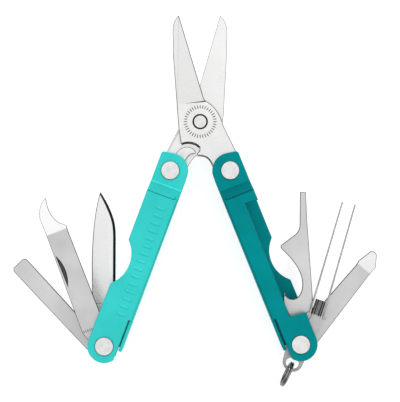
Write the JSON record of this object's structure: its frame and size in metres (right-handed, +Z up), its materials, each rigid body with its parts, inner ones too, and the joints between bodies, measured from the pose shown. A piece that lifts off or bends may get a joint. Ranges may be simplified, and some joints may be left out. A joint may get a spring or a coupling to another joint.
{
  "type": "folding multi tool",
  "caption": "Pocket folding tool: two channel handles on spring scissors, with blades, drivers, file, opener and tweezers fanned out and a lanyard ring.",
  "frame": {"origin": "middle of the underside of the tool as it lies opened flat", "axes": "+Z up out of the flat tool, +Y towards the scissor tips, +X towards the darker handle"},
  "size_m": [0.108, 0.1096, 0.0118],
  "materials": {
    "left_enamel": "satin",
    "right_enamel": "satin",
    "rivet": "satin",
    "blade": "bright satin",
    "tool": "satin",
    "spring_steel": "satin",
    "ring": "polished",
    "washer": "plain"
  },
  "bodies": {
    "rear_half": {"scissor_half_rear": "blade", "left_rear_shim": "washer", "left_front_shim": "washer"},
    "pivot": {"scissor_rivet": "rivet"},
    "front_half": {"scissor_half_front": "blade", "right_rear_bush": "washer", "right_front_shim": "washer"},
    "left_handle": {"left_handle": "left_enamel", "left_handle_rivet": "rivet", "left_tool_rivet": "rivet", "left_spacer": "washer"},
    "right_handle": {"right_handle": "right_enamel", "right_handle_rivet": "rivet", "right_tool_rivet": "rivet", "right_spacer": "washer"},
    "spring_washer": {"scissor_spring_washer": "washer"},
    "spring": {"scissor_spring": "spring_steel"},
    "file_washer": {"nail_file_washer": "washer"},
    "file": {"nail_file": "tool"},
    "knife_washer": {"knife_washer": "washer"},
    "knife": {"knife_blade": "blade"},
    "driver_washer": {"screwdriver_washer": "washer"},
    "driver": {"screwdriver": "tool"},
    "opener_washer": {"opener_washer": "washer"},
    "opener": {"bottle_opener": "tool"},
    "tweezer_washer": {"tweezer_washer": "washer"},
    "tweezers": {"tweezer_holder": "spring_steel"},
    "arm_left": {"tweezer_arm_left": "spring_steel"},
    "arm_right": {"tweezer_arm_right": "spring_steel"},
    "phillips_washer": {"phillips_washer": "washer"},
    "phillips": {"phillips_driver": "tool"},
    "bail": {"lanyard_bail": "ring"},
    "ring": {"split_ring": "ring"}
  },
  "joints": [
    {"name": "left_handle_fold", "type": "hinge", "parent": "rear_half", "child": "left_handle", "pos_m": [-0.00745, 0.00899, 0.0059], "axis": [0, 0, -1], "range_deg": [0, 172.5]},
    {"name": "scissors_close_with_fold", "type": "hinge", "parent": "rear_half", "child": "pivot", "pos_m": [0.00135, 0.02336, 0.0059], "axis": [0, 0, -1], "range_deg": [0, 26.01]},
    {"name": "scissors_cut", "type": "hinge", "parent": "pivot", "child": "front_half", "pos_m": [0.00135, 0.02336, 0.0059], "axis": [0, 0, 1], "range_deg": [-26, 0], "stiffness_Nm_per_rad": 0.01, "springref_deg": 20.05},
    {"name": "right_handle_fold", "type": "hinge", "parent": "front_half", "child": "right_handle", "pos_m": [0.01015, 0.00899, 0.0059], "axis": [0, 0, 1], "range_deg": [0, 171.01]},
    {"name": "spring_base_turn", "type": "hinge", "parent": "rear_half", "child": "spring_washer", "pos_m": [-0.00745, 0.00899, 0.0059], "axis": [0, 0, 1], "range_deg": [0, 26.01]},
    {"name": "spring_flex", "type": "hinge", "parent": "spring_washer", "child": "spring", "pos_m": [-0.00745, 0.00899, 0.0059], "axis": [0, 0, -1], "range_deg": [-26.01, 0]},
    {"name": "nail_file_stow_with_fold", "type": "hinge", "parent": "left_handle", "child": "file_washer", "pos_m": [-0.02664, -0.04234, 0.0059], "axis": [0, 0, 1], "range_deg": [-41.81, 0]},
    {"name": "nail_file_open", "type": "hinge", "parent": "file_washer", "child": "file", "pos_m": [-0.02664, -0.04234, 0.0059], "axis": [0, 0, 1], "range_deg": [-41.8, 138.2]},
    {"name": "knife_stow_with_fold", "type": "hinge", "parent": "left_handle", "child": "knife_washer", "pos_m": [-0.02664, -0.04234, 0.0059], "axis": [0, 0, 1], "range_deg": [-22.81, 0]},
    {"name": "knife_open", "type": "hinge", "parent": "knife_washer", "child": "knife", "pos_m": [-0.02664, -0.04234, 0.0059], "axis": [0, 0, 1], "range_deg": [-22.8, 157.2]},
    {"name": "screwdriver_stow_with_fold", "type": "hinge", "parent": "left_handle", "child": "driver_washer", "pos_m": [-0.02664, -0.04234, 0.0059], "axis": [0, 0, 1], "range_deg": [-68.01, 0]},
    {"name": "screwdriver_open", "type": "hinge", "parent": "driver_washer", "child": "driver", "pos_m": [-0.02664, -0.04234, 0.0059], "axis": [0, 0, 1], "range_deg": [-68, 112]},
    {"name": "opener_stow_with_fold", "type": "hinge", "parent": "right_handle", "child": "opener_washer", "pos_m": [0.03068, -0.04182, 0.0059], "axis": [0, 0, -1], "range_deg": [-18.21, 0]},
    {"name": "opener_open", "type": "hinge", "parent": "opener_washer", "child": "opener", "pos_m": [0.03068, -0.04182, 0.0059], "axis": [0, 0, -1], "range_deg": [-18.2, 161.8]},
    {"name": "tweezer_stow_with_fold", "type": "hinge", "parent": "right_handle", "child": "tweezer_washer", "pos_m": [0.03068, -0.04182, 0.0059], "axis": [0, 0, -1], "range_deg": [-41.01, 0]},
    {"name": "tweezer_open", "type": "hinge", "parent": "tweezer_washer", "child": "tweezers", "pos_m": [0.03068, -0.04182, 0.0059], "axis": [0, 0, -1], "range_deg": [-41, 139]},
    {"name": "phillips_stow_with_fold", "type": "hinge", "parent": "right_handle", "child": "phillips_washer", "pos_m": [0.03068, -0.04182, 0.0059], "axis": [0, 0, -1], "range_deg": [-62.71, 0]},
    {"name": "phillips_open", "type": "hinge", "parent": "phillips_washer", "child": "phillips", "pos_m": [0.03068, -0.04182, 0.0059], "axis": [0, 0, -1], "range_deg": [-62.7, 117.3]},
    {"name": "tweezer_squeeze", "type": "hinge", "parent": "tweezers", "child": "arm_left", "pos_m": [0.03302, -0.03311, 0.0059], "axis": [0, 0, -1], "range_deg": [0, 2], "stiffness_Nm_per_rad": 0.002, "springref_deg": -1.15},
    {"name": "tweezer_squeeze_other", "type": "hinge", "parent": "tweezers", "child": "arm_right", "pos_m": [0.03773, -0.0343, 0.0059], "axis": [0, 0, 1], "range_deg": [0, 2.01]},
    {"name": "bail_swing", "type": "hinge", "parent": "right_handle", "child": "bail", "pos_m": [0.03068, -0.04182, 0.0059], "axis": [0, 0, -1], "range_deg": [-60, 30]},
    {"name": "ring_swing", "type": "hinge", "parent": "bail", "child": "ring", "pos_m": [0.02855, -0.04785, 0.0059], "axis": [0, 0, -1], "range_deg": [-25, 25]}
  ],
  "couplings": [
    {"joint": "scissors_close_with_fold", "follows": "left_handle_fold", "ratio": 0.15072},
    {"joint": "right_handle_fold", "follows": "left_handle_fold", "ratio": 0.9913},
    {"joint": "spring_base_turn", "follows": "left_handle_fold", "ratio": 0.15072},
    {"joint": "spring_flex", "follows": "scissors_cut", "ratio": 1},
    {"joint": "nail_file_stow_with_fold", "follows": "left_handle_fold", "ratio": -0.24232},
    {"joint": "knife_stow_with_fold", "follows": "left_handle_fold", "ratio": -0.13217},
    {"joint": "screwdriver_stow_with_fold", "follows": "left_handle_fold", "ratio": -0.3942},
    {"joint": "opener_stow_with_fold", "follows": "left_handle_fold", "ratio": -0.10551},
    {"joint": "tweezer_stow_with_fold", "follows": "left_handle_fold", "ratio": -0.23768},
    {"joint": "phillips_stow_with_fold", "follows": "left_handle_fold", "ratio": -0.36348},
    {"joint": "tweezer_squeeze_other", "follows": "tweezer_squeeze", "ratio": 1}
  ]
}
